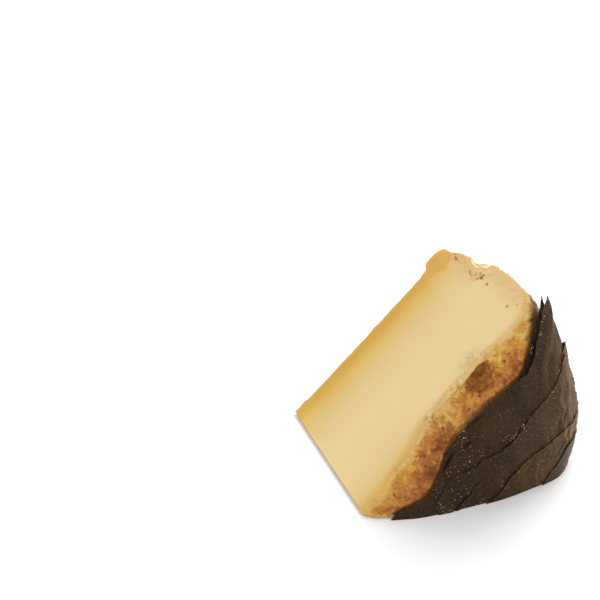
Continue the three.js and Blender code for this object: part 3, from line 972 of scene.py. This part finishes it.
def above_skin(along, degrees, lift, step=0.5):
    """Millimetres in the row frame of places that stand off the rind."""
    angle = np.radians(degrees)
    distance, height = skin_point(along, angle)
    before = skin_point(np.maximum(along - step, 0), angle)
    after = skin_point(along + step, angle)
    run, fall = after[0] - before[0], after[1] - before[1]
    length = np.hypot(run, fall)
    return in_space(distance - fall / length * lift, height + run / length * lift, angle)


LEAF_MEASURES = ("leaf_along", "leaf_arc", "leaf_edge", "leaf_grain", "leaf_middle", "leaf_crease",
                 "leaf_ridge")


def leaf_mesh(name):
    """A leaf as a thin closed shell."""
    leaf = LEAVES[name]
    first, last = leaf["along"][0], leaf["along"][-1]
    rows = int((last - first) / LEAF_GRID)
    along_line = np.linspace(first, last, rows + 1)
    upper_line = edge_angle(leaf, "upper", along_line)
    lower_line = np.maximum(edge_angle(leaf, "lower", along_line), 0)
    widest = np.max((upper_line - lower_line) * per_degree(along_line))
    columns = int(widest / LEAF_GRID)
    along, share = np.meshgrid(along_line, np.linspace(0, 1, columns + 1), indexing="ij")
    upper, lower = upper_line[:, None], lower_line[:, None]
    edge_line = np.stack([along_line, np.full(rows + 1, len(name) * 7.0), np.zeros(rows + 1)], -1)
    ragged = relief(edge_line, 2.0, 4)[:, None]
    end_fade = fading(along, last - 8, last)
    degrees = lower + (upper - lower) * share
    degrees = degrees + 0.45 / per_degree(along) * ragged * end_fade * growing(share, 0.8, 1.0)
    degrees = np.clip(degrees, 0, np.degrees(CUT_ANGLE))
    rise, from_edge, crease, ridge = leaf_rise(name, along, degrees)
    sides = [above_skin(along, degrees, rise + skin).reshape(-1, 3) for skin in (0, LEAF_THICKNESS)]
    points = np.concatenate(sides) * MM

    grid = np.arange(along.size).reshape(along.shape)
    quads = np.stack([grid[:-1, :-1], grid[:-1, 1:], grid[1:, 1:], grid[1:, :-1]], -1).reshape(-1, 4)
    ring = np.r_[grid[0, :-1], grid[:-1, -1], grid[-1, :0:-1], grid[:0:-1, 0]]
    after = np.roll(ring, -1)
    joins = np.stack([after, ring, ring + along.size, after + along.size], -1)
    faces = np.r_[quads, quads[:, ::-1] + along.size, joins].tolist()
    mesh = mesh_of(name, points, faces)
    move_inside(mesh, points)
    middle = (share - 0.5) * (upper - lower) * per_degree(along)
    values = (along, degrees * per_degree(along), from_edge, grain_place(along, degrees), middle, crease,
              ridge)
    store_values(mesh, {name: np.tile(value.ravel(), 2) for name, value in zip(LEAF_MEASURES, values)})
    return mesh


def dried_walnut_leaf(name, dryness_and_sheen, painted_shade):
    """Dried walnut leaf: dark tannin brown, greasy from the cheese, so its veins catch a soft
    gloss. Greyer along its dry fibres, with a painted sheen towards the wheel's side, painted
    highlights on its wrinkle ridges and edge, and painted shade in its folds and splits."""
    material, add = new_material("dried_walnut_" + name)
    place = add("TexCoord").outputs["Object"]
    along, arc, edge, grain, middle, crease, ridge = [
        add("Attribute", attribute_name=measure).outputs["Fac"] for measure in LEAF_MEASURES]
    mottle = add("TexNoise", Vector=place, Scale=1 / (9 * MM), Detail=5, Roughness=0.6)
    colour = add("ValToRGB", Fac=mottle, stops=(
        (0.30, 0x1F160A), (0.45, 0x26190C), (0.55, 0x2C1E0E), (0.70, 0x392611)))

    # Grey along the dry fibres, with a painted highlight on the wrinkle ridges and a painted sheen that
    # grows towards the side of the wheel
    flat = add("CombineXYZ", X=grain, Y=arc, Z=0)
    stretched = add("Mapping", Vector=flat, Scale=(1.0, 0.3, 1.0))
    fibres = add("TexNoise", Vector=stretched, Scale=3.0, Detail=3, Roughness=0.6)
    towards_side = add("Math", operation="MULTIPLY_ADD", Value=arc, Value_001=-0.32, Value_002=along)
    dry_and_side_sheen = add("MapRange", Value=towards_side, From_Min=46, From_Max=92, To_Min=0.14, To_Max=dryness_and_sheen)
    worn = add("MapRange", Value=fibres, From_Min=0.44, From_Max=0.62, To_Min=0.16, To_Max=0.65)
    # Lighter on the wrinkle ridges: painted highlight
    worn = add("Math", operation="MULTIPLY_ADD", use_clamp=True, Value=ridge, Value_001=2.6, Value_002=worn)
    grey_and_highlights = add("Math", operation="MULTIPLY", use_clamp=True, Value=dry_and_side_sheen, Value_001=worn)
    flecks = add("TexVoronoi", Vector=place, Scale=1 / (1.5 * MM))
    colour = painted(add, colour, (
        (0x9F7A53, grey_and_highlights),
        # Painted highlight: a light tan rim along the leaf's edge
        (0x8A7050, grey_and_highlights, edge, 0.1, 0.5, 1, 0),
        # Painted shade, near black: in folds and splits, and over the whole leaf by its painted shade share
        (0x17110C, 1, crease, 0.15, 0.5, painted_shade, 0.95),
        (0x9C8468, 1, flecks, 0.06, 0.14, 0.5, 0)))

    # Side veins every 6 mm, slanting off the midrib, and a fine net between them
    slant = add("Math", operation="ABSOLUTE", Value=middle)
    vein_place = add("Math", operation="SUBTRACT", Value=along, Value_001=slant)
    vein_cycle = add("Math", operation="PINGPONG", Value=vein_place, Value_001=3)
    vein = add("MapRange", interpolation_type="SMOOTHSTEP", Value=vein_cycle, From_Max=0.45, To_Min=1,
               To_Max=0)
    net = add("TexVoronoi", feature="DISTANCE_TO_EDGE", Vector=place, Scale=1 / (1.3 * MM))
    net_line = add("MapRange", Value=net, From_Max=0.12, To_Min=0.35, To_Max=0)
    lines = add("Math", operation="MAXIMUM", Value=vein, Value_001=net_line)
    surface = add("Math", operation="MULTIPLY_ADD", Value=fibres, Value_001=1.5, Value_002=lines)
    bump = add("Bump", Height=surface, Strength=0.6, Distance=0.22 * MM)
    roughness = add("MapRange", Value=mottle, To_Min=0.38, To_Max=0.60)
    gloss = add("MapRange", Value=towards_side, From_Min=64, From_Max=88, To_Min=0.14, To_Max=0.6)
    body = add("BsdfPrincipled", Base_Color=colour, Roughness=roughness, Normal=bump, IOR=1.45,
               Specular_IOR_Level=gloss)
    add("OutputMaterial", Surface=body)
    return material


for name in LEAVES:
    leaf_piece = dressed(name + "_dried", leaf_mesh(name), dried_walnut_leaf(name, *LEAF_LIES[name][4:]))
    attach(leaf_piece, "root")
    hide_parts(name)


# ---- Specks of cheese on the leaves, and pale specks as painted glints ----
# Dust and crumbs of the dried rind, down to a fifth of a millimetre, which the knife dragged
# over the greasy leaves; they stick where the leaves are creased and along their edges.
SPECK_SIZES = (0.10, 0.24)
BIG_SPECK = 0.42
# Swarms of specks: their middle along the skin and in degrees, their spread in mm and number
SPECK_AND_GLINT_SWARMS = [
    (44.5, 32.3, 0.9, 10), (42, 30.6, 1.6, 18), (40.6, 22.7, 1.1, 14), (45.5, 26.2, 2.6, 14),
    (29.4, 19.9, 2, 12), (35.8, 22.6, 2.2, 10), (28, 3.1, 1.5, 26), (42.2, 0.8, 1.3, 22),
    (47.2, 20.6, 3, 10), (57.2, 22.3, 1.4, 8), (62.1, 22.4, 1.5, 10), (49.5, 7.6, 3, 6),
    (31.1, 7.8, 2.4, 8), (38.4, 10.8, 3, 5), (54.1, 8.4, 2, 6), (68.7, 19.3, 4, 7),
    # The swarms at (87.5, 41), (82.6, 38.9) and (91, 41.8) lie on the inner leaf: pale specks as painted
    # glints
    (63.6, 10.2, 4, 6), (76.7, 23.6, 5, 8), (60, 28, 6, 8), (87.5, 41, 0.8, 24),
    (82.6, 38.9, 0.8, 22), (91, 41.8, 0.7, 12), (58.3, 20.2, 0.7, 12), (61.4, 21.4, 0.8, 12),
    (64.4, 22.6, 0.6, 6), (68, 23.6, 0.6, 5), (79, 26.6, 0.6, 5), (84, 29.4, 0.7, 4),
    (50.6, 5.2, 0.6, 6), (56.8, 8.9, 0.6, 5), (62.3, 10.6, 0.7, 6), (70.5, 11.8, 1.2, 5),
    (27, 6, 1.6, 16), (33.5, 13, 2.2, 10), (33.5, 4, 2, 10),
]


def speck_spots():
    """Places of the specks along the skin and in degrees, and their sizes."""
    draw = random.Random(41)
    spots = [(46.0, 33.7, BIG_SPECK)]
    for along, degrees, spread, count in SPECK_AND_GLINT_SWARMS:
        for _ in range(count):
            place = along + draw.gauss(0, spread)
            turn = degrees + draw.gauss(0, spread) / float(per_degree(along))
            spots.append((place, max(turn, 0.3), draw.uniform(*SPECK_SIZES)))
    return np.array(spots)


def leaf_top(along, degrees):
    """Height of the uppermost leaf above the rind, or nan off the leaves."""
    top = np.full(len(along), np.nan)
    for name, leaf in LEAVES.items():
        inside = (outside_leaf(leaf, along, degrees) == 0) & (along < leaf["along"][-1] - 1)
        rise = leaf_rise(name, along[:, None], degrees[:, None])[0][:, 0] + LEAF_THICKNESS
        top = np.where(inside, np.fmax(top, rise), top)
    return top


def crumbled_rind():
    """Dry crumbs of rind and paste, and specks that stand in for glints as a painted highlight: matt, pale
    and slightly pink, each a little different.
    """
    material, add = new_material("crumbled_rind")
    place = add("TexCoord").outputs["Object"]
    shade = add("TexNoise", Vector=place, Scale=1 / (1.5 * MM), Detail=3)
    colour = add("ValToRGB", Fac=shade, stops=((0.35, 0x7E6048), (0.5, 0xA4866C), (0.65, 0xCDB49A)))
    bump = add("Bump", Height=shade, Strength=0.4, Distance=0.1 * MM)
    body = add("BsdfPrincipled", Base_Color=colour, Roughness=0.55, Normal=bump, IOR=1.45)
    add("OutputMaterial", Surface=body)
    return material


spots = speck_spots()
spots = spots[~np.isnan(leaf_top(spots[:, 0], spots[:, 1]))]
speck_lift = leaf_top(spots[:, 0], spots[:, 1]) + 0.3 * spots[:, 2]
speck_places = [Vector(place) for place in above_skin(spots[:, 0], spots[:, 1], speck_lift)]
speck_mesh = lump_mesh("specks", zip(speck_places, spots[:, 2]), 5, ((0.6, 1.2),) * 3, 0.5, 2.0)
move_inside(speck_mesh, vertex_values(speck_mesh, "co"))
specks = dressed("specks_on_leaves", speck_mesh, crumbled_rind())
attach(specks, "root")
